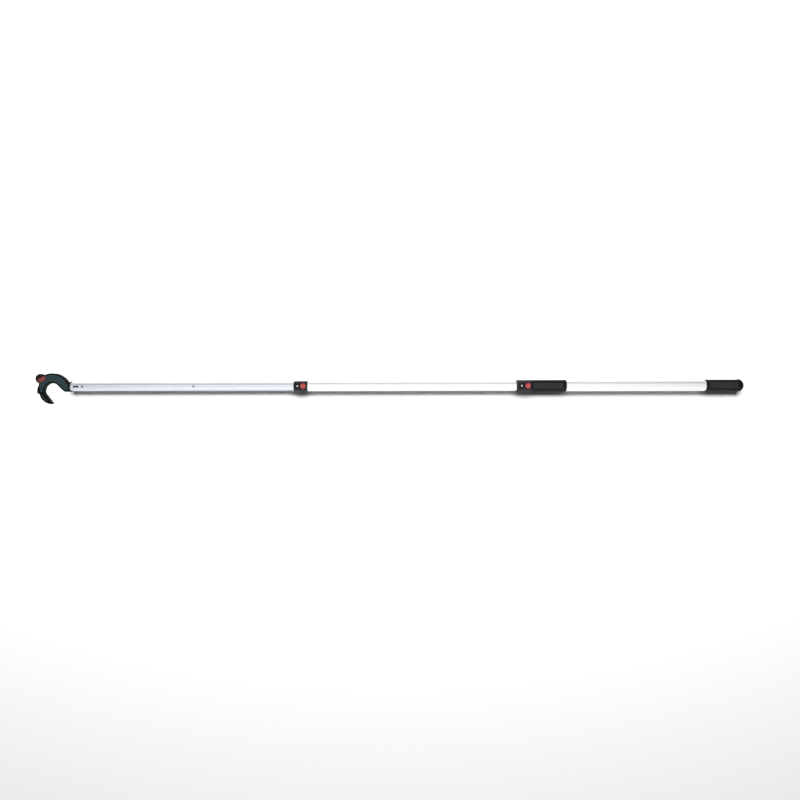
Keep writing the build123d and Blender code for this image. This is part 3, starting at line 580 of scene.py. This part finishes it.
def make_grips():
    """The ribbed end grip with its band and a thin ring painted lighter as a highlight, and the fore grip
    with its end ring.
    """
    bore = span("outer_tube")[2] - SLEEVE_SQUEEZE
    x_low, x_high, outside = span("butt_grip")
    profile = ribbed_profile(x_low, x_high, outside, bore, RIB_PITCH, RIB_DEPTH, 10 * MM, 2.5 * MM)
    make_grip_part("butt_grip_sleeve", profile, RUBBER, ("butt_grip",))
    band = [
        (x_low, outside - 0.3 * MM),
        (x_low, outside + 0.05 * MM),
        (x_low + 0.5 * MM, outside + 0.5 * MM),
        (x_low + 6.5 * MM, outside + 0.5 * MM),
        (x_low + 7.0 * MM, outside + 0.05 * MM),
        (x_low + 7.0 * MM, outside - 0.3 * MM),
    ]
    make_grip_part("butt_grip_band", band, DARK_RUBBER)
    # A thin raised ring in the lighter rubber, a painted highlight for the bright line across the end grip.
    line = [
        (x_low + 9.0 * MM, outside - 0.3 * MM),
        (x_low + 9.0 * MM, outside + 0.1 * MM),
        (x_low + 9.4 * MM, outside + 0.25 * MM),
        (x_low + 10.2 * MM, outside + 0.25 * MM),
        (x_low + 10.6 * MM, outside + 0.1 * MM),
        (x_low + 10.6 * MM, outside - 0.3 * MM),
    ]
    make_grip_part("butt_grip_line", line, HIGHLIGHT_RUBBER)
    make_grip_pad("butt_grip", x_low + 11 * MM, x_high - 3 * MM, outside)

    x_low, x_high, outside = span("fore_grip")
    profile = ribbed_profile(x_low, x_high, outside, bore, RIB_PITCH, RIB_DEPTH, 4 * MM, 4 * MM)
    make_grip_part("fore_grip_sleeve", profile, RUBBER, ("fore_grip",))
    make_grip_pad("fore_grip", x_low + 3 * MM, x_high - 4 * MM, outside)

    x_low, x_high, outside = span("fore_grip_ring")
    ring = [
        (x_low, bore),
        (x_low, outside - 0.9 * MM),
        (x_low + 0.3 * MM, outside - 0.3 * MM),
        (x_low + 1.0 * MM, outside),
        (x_high - 1.6 * MM, outside),
        (x_high - 0.6 * MM, outside - 0.4 * MM),
        (x_high, outside - 1.3 * MM),
        (x_high, bore),
    ]
    make_grip_part("fore_grip_end_ring", ring, DARK_RUBBER, ("fore_grip_ring",))


def make_grip_pad(grip, x_low, x_high, outside):
    """The flat thumb pad along the top of a grip, with small raised studs."""
    bm = bmesh.new()
    width = 19 * MM
    top = outside + 0.35 * MM
    base = outside - 2.6 * MM
    length = x_high - x_low
    middle = (x_low + x_high) / 2
    place = Matrix.Translation((middle, 0, (top + base) / 2))
    bmesh.ops.create_cube(bm, size=1, matrix=place @ Matrix.Diagonal((length, width, top - base, 1)))
    corners = [e for e in bm.edges if abs(e.verts[0].co.z - e.verts[1].co.z) > 1e-6]
    round_edges(bm, corners, 3.5 * MM, 6)
    round_edges(bm, rim_edges(bm, top), 0.8 * MM, 3)
    bm.normal_update()
    top_face = max(bm.faces, key=lambda f: f.calc_center_median().z)
    bmesh.ops.inset_region(bm, faces=[top_face], thickness=1.1 * MM, use_even_offset=True)
    bmesh.ops.inset_region(bm, faces=[top_face], thickness=0.25 * MM, depth=-0.35 * MM, use_even_offset=True)
    pad = make_piece(grip + "_pad", bm, RUBBER, "outer_stage")
    # The pad's upward-facing faces take the lighter rubber as a painted highlight along its top.
    pad.data.materials.append(HIGHLIGHT_RUBBER)
    for face in pad.data.polygons:
        if face.normal.z > 0.3 and face.center.z > outside:
            face.material_index = 1

    studs = bmesh.new()
    pitch = 3.2 * MM
    columns = int((length - 9 * MM) / pitch)
    rows = 4
    for column in range(columns):
        for row in range(rows):
            shift = 0.5 * pitch if column % 2 else 0.0
            y = (row - (rows - 1) / 2) * pitch + shift / 2 - pitch / 8
            x = x_low + 5 * MM + column * pitch
            bmesh.ops.create_cone(
                studs,
                cap_ends=True,
                segments=10,
                radius1=0.85 * MM,
                radius2=0.55 * MM,
                depth=0.5 * MM,
                matrix=Matrix.Translation((x, y, top - 0.2 * MM)),
            )
    make_piece(grip + "_studs", studs, RUBBER, "outer_stage")


def make_butt_cap():
    """The end cap, with its plug, flared rim and grooved face of radius `face`."""
    flare = span("butt_cap")[2]
    tube_radius = span("outer_tube")[2]
    face = 13 * MM
    neck = span("butt_grip")[2]
    profile = [
        (-35 * MM, 0.0),
        (-35 * MM, tube_radius - 1.7 * MM),
        (-19 * MM, tube_radius - 1.7 * MM),
        (-19 * MM, neck),
        (-17.5 * MM, neck + 0.1 * MM),
        (-15.8 * MM, flare - 0.35 * MM),
        (-14.4 * MM, flare),
        (-10.5 * MM, flare),
        (-9.2 * MM, flare - 0.25 * MM),
        (-7.6 * MM, flare - 1.2 * MM),
        (-2.4 * MM, face + 2.9 * MM),
        (-0.9 * MM, face + 1.2 * MM),
        (-0.25 * MM, face + 0.35 * MM),
        (0.0, face - 0.4 * MM),
        (0.0, face - 2.6 * MM),
        (-0.5 * MM, face - 3.1 * MM),
        (-0.5 * MM, face - 4.6 * MM),
        (0.0, face - 5.1 * MM),
        (0.0, 0.0),
    ]
    make_grip_part("butt_cap_moulding", profile, DARK_RUBBER, ("butt_cap",))


# ---------------------------------------------------------------- collars and their buttons


def boss_radius(angle, radius, half_width, top, corner):
    """How far the collar's skin is from the pole's axis, at an angle measured from straight up."""
    y, z = math.sin(angle), math.cos(angle)
    if z <= 0:
        return radius
    reach = min(top / z, half_width / abs(y) if abs(y) > 1e-9 else 1.0)
    corner_y, corner_z = half_width - corner, top - corner
    point_y, point_z = reach * abs(y), reach * z
    if point_y > corner_y and point_z > corner_z:
        b = abs(y) * corner_y + z * corner_z
        c = corner_y**2 + corner_z**2 - corner**2
        reach = b + math.sqrt(max(b * b - c, 0.0))
    return max(radius, reach)


def make_collar(stage, body, tube_node):
    """A collar with its boss, the openings in it, their rings and the push button."""
    collar_node, leaf, button = f"{stage}_collar", f"{stage}_lock_leaf", f"{stage}_button"
    x_low, x_high, radius = span(collar_node)
    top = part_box(collar_node)[1][2]
    tube_radius = span(tube_node)[2]
    bore = tube_radius - 0.15 * MM
    next_radius = tube_radius - 2.0 * MM
    stations = [
        (x_low, next_radius + 0.3 * MM, 0.0),
        (x_low, radius - 0.8 * MM, 0.0),
        (x_low + 0.3 * MM, radius - 0.25 * MM, 0.0),
        (x_low + 0.9 * MM, radius, 0.0),
    ]
    blend = (0.0, 0.12, 0.38, 0.68, 0.90, 0.98, 1.0)
    start = x_low + BOSS_END_MARGIN
    end = x_high - BOSS_END_MARGIN
    steps = len(blend) - 1
    stations += [(start + BOSS_RISE * i / steps, radius, f) for i, f in enumerate(blend)]
    stations += [(end - BOSS_RISE * (steps - i) / steps, radius, f) for i, f in enumerate(reversed(blend))]
    stations += [
        (x_high - 0.9 * MM, radius, 0.0),
        (x_high - 0.3 * MM, radius - 0.25 * MM, 0.0),
        (x_high, radius - 0.8 * MM, 0.0),
        (x_high, bore, 0.0),
        (x_low + 2.0 * MM, bore, 0.0),
        (x_low + 2.0 * MM, next_radius + 0.3 * MM, 0.0),
    ]
    facets = 220
    angles = [2 * math.pi * i / facets for i in range(facets)]

    def reach(angle, ring_radius, boss):
        skin = boss_radius(angle, radius, BOSS_HALF_WIDTH, top, BOSS_CORNER)
        return ring_radius + boss * (skin - radius)

    bm = ring_stack(stations, angles, reach)
    piece = make_piece(stage + "_collar_housing", bm, COLLAR, body, (collar_node,))
    button_low, button_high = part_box(button)
    button_x = (button_low[0] + button_high[0]) / 2
    flat = tube_radius - FLAT_DEPTH
    button_radius = (button_high[1] - button_low[1]) / 2 - BUTTON_FLANGE
    pin_place = pin_x(leaf)
    pin_recess = [
        (0.0, flat),
        (LOCK_HOLE_RADIUS + 0.3 * MM, flat),
        (LOCK_HOLE_RADIUS + 0.3 * MM, top - 0.5 * MM),
        (PIN_DISH_RADIUS, top - 0.5 * MM),
        (PIN_DISH_RADIUS, top + 2 * MM),
        (0.0, top + 2 * MM),
    ]
    cutters = [
        upright_cutter(button_x, 0, button_radius + BUTTON_GAP, flat, top + 2 * MM, 64),
        turned_upright(pin_recess, (pin_place, 0), 64),
    ]
    cut_away(piece, cutters)
    make_bezels(stage, body, button_x, button_radius, pin_place, top)
    make_round_button(stage, button, button_x, button_radius, top)


def make_bezels(stage, body, button_x, button_radius, pin_place, top):
    """The rounded ring round the button and the dished eyelet round the lock pin."""
    inner = button_radius + BUTTON_GAP
    profile = [
        (inner, top - 1.5 * MM),
        (inner, top - 0.25 * MM),
        (inner + 0.25 * MM, top + 0.04 * MM),
        (inner + 0.7 * MM, top + 0.20 * MM),
        (inner + 1.15 * MM, top + 0.04 * MM),
        (inner + 1.25 * MM, top - 1.5 * MM),
    ]
    # This ring's reddish near-black is painted shade for the shaded rim round the red button.
    bm = turned_upright(profile, (button_x, 0), 72)
    make_piece(stage + "_button_bezel", bm, BEZEL_AND_RIM_SHADE, body)
    hole = LOCK_HOLE_RADIUS + 0.05 * MM
    eyelet = [
        (hole, top - 1.4 * MM),
        (hole, top - 0.25 * MM),
        (hole + 0.35 * MM, top - 0.02 * MM),
        (hole + 0.9 * MM, top - 0.05 * MM),
        (hole + 1.4 * MM, top - 0.38 * MM),
        (PIN_DISH_RADIUS - 0.5 * MM, top - 0.42 * MM),
        (PIN_DISH_RADIUS - 0.25 * MM, top - 0.1 * MM),
        (PIN_DISH_RADIUS - 0.05 * MM, top - 0.1 * MM),
        (PIN_DISH_RADIUS - 0.05 * MM, top - 1.4 * MM),
    ]
    bm = turned_upright(eyelet, (pin_place, 0), 48)
    make_piece(stage + "_pin_eyelet", bm, BEZEL_AND_RIM_SHADE, body)


def make_round_button(stage, node, x, radius, roof):
    """A red push button, with a shallow thumb dish inside a rounded rim."""
    low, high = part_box(node)
    base, top = low[2], high[2]
    stem = 3.4 * MM
    under = roof - 3.0 * MM
    profile = [
        (0.0, base),
        (stem, base),
        (stem, under),
        (radius, under),
        (radius, top - 1.0 * MM),
        (radius - 0.12 * MM, top - 0.45 * MM),
        (radius - 0.55 * MM, top - 0.08 * MM),
        (radius - 1.2 * MM, top),
        (radius - 1.9 * MM, top - 0.10 * MM),
        (radius - 3.2 * MM, top - 0.42 * MM),
        (radius - 5.2 * MM, top - 0.60 * MM),
        (0.0, top - 0.66 * MM),
    ]
    bm = turned_upright(profile, (x, 0), 72)
    make_piece(stage + "_button_cap", bm, RED, node, (node,), sharp=40)


# ---------------------------------------------------------------- hook

def hook_outline(inset=0.0):
    """The outline of the hook's fixed body, drawn in by an inset in millimetres."""
    axis_rise = -HOOK_CENTRE.y / MM
    neck_face = span("hook_shell_upper")[1] / MM - HOOK_CENTRE.x / MM - inset
    neck_top = axis_rise + 14.0 - inset
    neck_bottom = axis_rise - 17.5 + inset
    corner = 2.0
    mouth = MOUTH + inset
    arch = ARCH - inset
    end_angle = SHELL_END_ANGLE - math.degrees(inset / (MOUTH + 9))
    leave = polar(mouth, 40)
    points = arc(mouth, end_angle, 40)
    points += arc_from(leave, -50, (NECK_CORNER + 0.4 * inset, neck_bottom))[1:]
    points += arc(corner, -90, 0, (neck_face - corner, neck_bottom + corner), 15)
    points += arc(corner, 0, 90, (neck_face - corner, neck_top - corner), 15)
    foot = math.degrees(math.asin(neck_top / arch))
    points += arc(arch, foot, 121)
    points += arc_through(polar(arch, 121), polar(arch - 9, 150), polar(SHELL_END - inset, end_angle))[1:]
    return points


def pill_outline(grow):
    """The oblong release button's outline, grown all round by so many millimetres."""
    x, y = polar(PILL_DISTANCE, PILL_ANGLE)
    half = (PILL_LENGTH - PILL_WIDTH) / 2
    radius = PILL_WIDTH / 2 + grow
    turn = PILL_TURN
    along = (math.cos(math.radians(turn)) * half, math.sin(math.radians(turn)) * half)
    right = arc(radius, turn - 90, turn + 90, (x + along[0], y + along[1]), 7.5)
    left = arc(radius, turn + 90, turn + 270, (x - along[0], y - along[1]), 7.5)
    return right + left


def pill_block(grow, low, high):
    """A cutter of the release button's shape, grown all round by so many millimetres."""
    return prism(bmesh.new(), pill_outline(grow), low, high)


def make_hook_shells():
    """The two halves of the hook's body with their inlays, and the pocket for the release button."""
    for side, name in ((1, "upper"), (-1, "lower")):
        bm = half_block(side, hook_outline(), SHELL_GAP, SHELL_HALF, 2.5 * MM, 0.25 * MM, 5)
        replaced = (f"hook_shell_{name}",)
        shell = make_piece(f"hook_half_{name}", bm, BLACK, "inner_stage", replaced)
        panel = hook_outline(PANEL_INSET)
        bm = half_block(side, panel, SHELL_HALF - 1.0 * MM, SHELL_HALF + 0.9 * MM, 0.7 * MM)
        replaced = (f"hook_panel_{name}",)
        inlay = make_piece(f"hook_inlay_{name}", bm, SLATE, "inner_stage", replaced)
        if side > 0:
            for piece, grow in ((shell, 0.3), (inlay, 1.2)):
                cut_away(piece, [pill_block(grow, SHELL_HALF - PILL_POCKET, SHELL_HALF + 3 * MM)])


def quarter(count):
    """Angles through a quarter turn."""
    return [math.pi / 2 * i / count for i in range(count + 1)]


def make_bumpers():
    """The round nose pad at the hook's outer corner and the pad along its side."""
    nose = polar(ARCH - 1.8, NOSE_ANGLE)
    centre = HOOK_CENTRE + Vector((nose[0], nose[1], 0)) * MM
    radius = 16.8 * MM
    half = 7.4 * MM
    edge = 2.6 * MM
    profile = [(0.0, -half)]
    profile += [(radius - edge + edge * math.sin(t), -half + edge * (1 - math.cos(t))) for t in quarter(6)]
    profile += [(radius - 0.5 * MM, -0.9 * MM), (radius - 0.9 * MM, 0.0), (radius - 0.5 * MM, 0.9 * MM)]
    profile += [(radius - edge + edge * math.cos(t), half - edge * (1 - math.sin(t))) for t in quarter(6)]
    profile += [(0.0, half)]
    bm = turned_upright(profile, centre, 96)
    make_piece("nose_bumper_pad", bm, DARK_RUBBER, "inner_stage", ("nose_bumper",))

    outer = 52.3
    points = arc(outer, 163, 188) + [polar(outer - 1.2, 190), polar(46, 192), polar(43, 192)]
    points += arc(43, 190, 160) + [polar(49, 159), polar(outer - 1.5, 160.6)]
    bm = bmesh.new()
    prism(bm, points, -7.2 * MM, 7.2 * MM, 1.8 * MM, 1.8 * MM)
    make_piece("side_bumper_pad", bm, DARK_RUBBER, "inner_stage", ("side_bumper",))


def make_socket():
    """The flared ring at the neck, with the start of its plug in the inner tube."""
    _, x_high, radius = span("hook_socket")
    rim_x, _, tube_radius = span("inner_tube")
    bore = tube_radius - TUBE_WALL - 0.3 * MM
    foot = 14.5 * MM
    profile = [
        (x_high, bore - 5 * MM),
        (x_high, bore),
        (rim_x, bore),
        (rim_x, radius - 0.5 * MM),
        (rim_x - 0.15 * MM, radius - 0.12 * MM),
        (rim_x - 0.5 * MM, radius),
        (rim_x - 2.4 * MM, radius - 0.1 * MM),
        (rim_x - 3.0 * MM, radius - 0.7 * MM),
        (rim_x - 3.9 * MM, radius - 2.3 * MM),
        (rim_x - 4.8 * MM, foot + 0.3 * MM),
        (rim_x - 6.5 * MM, foot - 0.4 * MM),
        (rim_x - 6.5 * MM, bore - 5 * MM),
    ]
    bm = turned_along_pole(profile, 96)
    make_piece("hook_socket_flare", bm, BLACK, "inner_stage", ("hook_socket",))


def key_block(grow, low, high):
    """A block of the key's two-lobed shape, grown all round by so many millimetres."""
    key_low, key_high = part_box("head_key")
    x = (key_low[0] + key_high[0]) / 2
    lobe, pitch, waist = 3.55 + grow, 5.5, 2.1 + grow
    meet = math.degrees(math.asin(waist / lobe))
    outline = arc(lobe, -180 + meet, 180 - meet, (pitch, 0), 12)
    outline += arc(lobe, meet, 360 - meet, (-pitch, 0), 12)
    bm = bmesh.new()
    raise_block(bm, [(x + px * MM, py * MM, low) for px, py in outline], high - low)
    return bm


def make_key():
    """The two-lobed key in the tube's slot."""
    low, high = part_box("head_key")
    bm = key_block(0.0, low[2], high[2])
    round_edges(bm, rim_edges(bm, high[2]), 0.5 * MM, 3)
    make_piece("slot_key", bm, BLACK, "inner_stage", ("head_key",))


def arm_outline():
    """The blade of the threading arm that stands out of the hook."""
    outer = SHELL_END - 0.3
    start = SHELL_END_ANGLE + 0.5
    points = arc(outer, start, 262)
    tip = polar(outer - 4.9, 269)
    points += arc_from(polar(outer, 262), 352, tip, 10)[1:]
    points += arc_through(tip, polar(outer - 18.8, 236), polar(MOUTH - 0.3, start), 28)[1:]
    return points


def ring_sector(inner, outer, start, end):
    """Part of a ring about the centre of the mouth."""
    return arc(inner, start, end) + arc(outer, end, start)


def make_arm():
    """The threading arm's blade, the rail that slides in the hook, and the strips along it."""
    bm = bmesh.new()
    prism(bm, arm_outline(), -SHELL_HALF, SHELL_HALF, 2.2 * MM, 2.2 * MM, 5)
    rail = bmesh.new()
    prism(rail, ring_sector(31.1, 41.9, 88, 195.5), -4.5 * MM, 4.5 * MM, 0.4 * MM, 0.4 * MM, 2)
    join_in(bm, rail)
    make_piece("threading_arm_blade", bm, BLACK, "threading_arm", ("threading_arm",))
    for side, name in ((1, "upper"), (-1, "lower")):
        near, far = sorted(side * corner[2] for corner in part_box(f"arm_inlay_{name}"))
        bm = half_block(side, ring_sector(35.4, 39.2, 199, 244), near, far, 0.25 * MM)
        replaced = (f"arm_inlay_{name}",)
        make_piece(f"arm_strip_{name}", bm, SLATE, "threading_arm", replaced)


def make_pill():
    """The oblong release button and the ring round it."""
    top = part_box("arm_button")[1][2]
    bm = bmesh.new()
    prism(bm, pill_outline(0), SHELL_HALF - PILL_FOOT, top, 1.8 * MM, 0.0, 5)
    make_piece("arm_release_pill", bm, MAROON, "arm_button", ("arm_button",), sharp=50)
    # The ring round the pill is reddish near-black: painted shade for the pill's shaded rim.
    bm = bmesh.new()
    prism(bm, pill_outline(2.0), SHELL_HALF - 1 * MM, SHELL_HALF + 1.15 * MM, 0.5 * MM)
    bezel = make_piece("pill_bezel", bm, BEZEL_AND_RIM_SHADE, "inner_stage")
    cut_away(bezel, [pill_block(0.3, SHELL_HALF - 2 * MM, SHELL_HALF + 3 * MM)])


# ---------------------------------------------------------------- inner pieces kept from CAD


def dress_inner_pieces():
    """Give the CAD pieces that stay as they are their materials."""
    for material, nodes in (
        (NYLON, ("handle_guide_bush", "middle_guide_bush", "middle_tail_bush", "inner_tail_bush")),
        (STEEL, ("handle_lock_leaf", "middle_lock_leaf", "handle_lock_spring", "middle_lock_spring")),
        (STEEL, ("handle_fulcrum_pin", "middle_fulcrum_pin", "arm_catch", "arm_button_spring")),
        (DULL_STEEL, ("handle_collar_rivets", "middle_collar_rivets", "shell_screws")),
    ):
        for node in nodes:
            for slot in frame["nodes"][node].material_slots:
                slot.material = material


# ---------------------------------------------------------------- floor, lights, camera


# The first words of the hook's pieces, which the shadow-casting light passes through
HOOK_PIECES = (
    "hook_half", "hook_inlay", "hook_shell", "nose_", "side_", "arm_", "threading_", "pill_", "shell_screws"
)
FLOOR_SIZE = 12
CAMERA_PLACE = (-1.1796, -0.048, 2.156)
CAMERA_ROLL = -0.117
CAMERA_LENS = 28.1


def make_stage():
    """The pale floor, the dim world and the lights, each linked to what it is for."""
    floor_z = min(cad_bounds[0][2], cad_bounds[1][2]) - FLOOR_GAP
    bm = bmesh.new()
    middle_x = (cad_bounds[0][0] + cad_bounds[1][0]) / 2
    place = Matrix.Translation((middle_x, 0, floor_z))
    bmesh.ops.create_grid(bm, x_segments=1, y_segments=1, size=FLOOR_SIZE, matrix=place)
    mesh = bpy.data.meshes.new("floor")
    bm.to_mesh(mesh)
    bm.free()
    floor = bpy.data.objects.new("floor", mesh)
    bpy.context.collection.objects.link(floor)
    paper, _, _, principled = shader("paper", (0.92, 0.92, 0.92), 0.9)
    principled.inputs["Specular IOR Level"].default_value = 0.0
    mesh.materials.append(paper)

    world = bpy.data.worlds.new("studio")
    world.use_nodes = True
    background = world.node_tree.nodes["Background"]
    background.inputs["Color"].default_value = (1, 1, 1, 1)
    background.inputs["Strength"].default_value = 0.05
    bpy.context.scene.world = world

    far_side = add_area("far_side_key", (middle_x, 2.65, 4.1), (middle_x, 0, 0), (5.0, 2.1), 480)
    near_side = add_area("near_side_card", (middle_x, -3.0, 1.7), (middle_x, 0, 0), (6.5, 2.2), 84)
    far_card = add_area("far_side_card", (middle_x, 3.9, 1.6), (middle_x, 0, 0), (7.0, 2.6), 42)
    overhead = add_area("overhead", (middle_x, 0.3, 3.6), (middle_x, 0.3, 0), (7.0, 6.0), 156)
    floor_only = bpy.data.collections.new("floor_only")
    floor_only.objects.link(floor)
    fill = add_area("floor_fill", (middle_x, 0, 4.0), (middle_x, 0, 0), (6.0, 6.0), 8)
    fill.data.use_shadow = False
    fill.light_linking.receiver_collection = floor_only
    far_side.light_linking.receiver_collection = floor_only
    pole_only = bpy.data.collections.new("pole_only")
    object_only = bpy.data.collections.new("object_only")
    for piece in bpy.context.scene.objects:
        if piece.type == "MESH" and piece is not floor:
            object_only.objects.link(piece)
            if not piece.name.startswith(HOOK_PIECES):
                pole_only.objects.link(piece)
    far_side.light_linking.blocker_collection = pole_only
    for light in (near_side, far_card, overhead):
        light.light_linking.receiver_collection = object_only


def add_area(name, place, target, size, power):
    """A rectangular soft light that points at a target."""
    data = bpy.data.lights.new(name, "AREA")
    data.shape = "RECTANGLE"
    data.size, data.size_y = size
    data.energy = power
    light = bpy.data.objects.new(name, data)
    bpy.context.collection.objects.link(light)
    light.location = place
    light.rotation_euler = (Vector(target) - Vector(place)).to_track_quat("-Z", "Y").to_euler()
    return light


def make_camera():
    """A camera that looks straight down on the whole pole."""
    data = bpy.data.cameras.new("camera")
    data.sensor_width = 36
    data.lens = CAMERA_LENS
    data.clip_end = 50
    camera = bpy.data.objects.new("camera", data)
    bpy.context.collection.objects.link(camera)
    camera.location = CAMERA_PLACE
    camera.rotation_euler = (0, 0, math.radians(CAMERA_ROLL))
    bpy.context.scene.camera = camera
    bpy.context.scene.view_settings.view_transform = "Standard"


make_tubes()
make_grips()
make_butt_cap()
make_collar("handle", "outer_stage", "outer_tube")
make_collar("middle", "middle_stage", "middle_tube")
make_hook_shells()
make_bumpers()
make_socket()
make_key()
make_arm()
make_pill()
dress_inner_pieces()
make_stage()
make_camera()
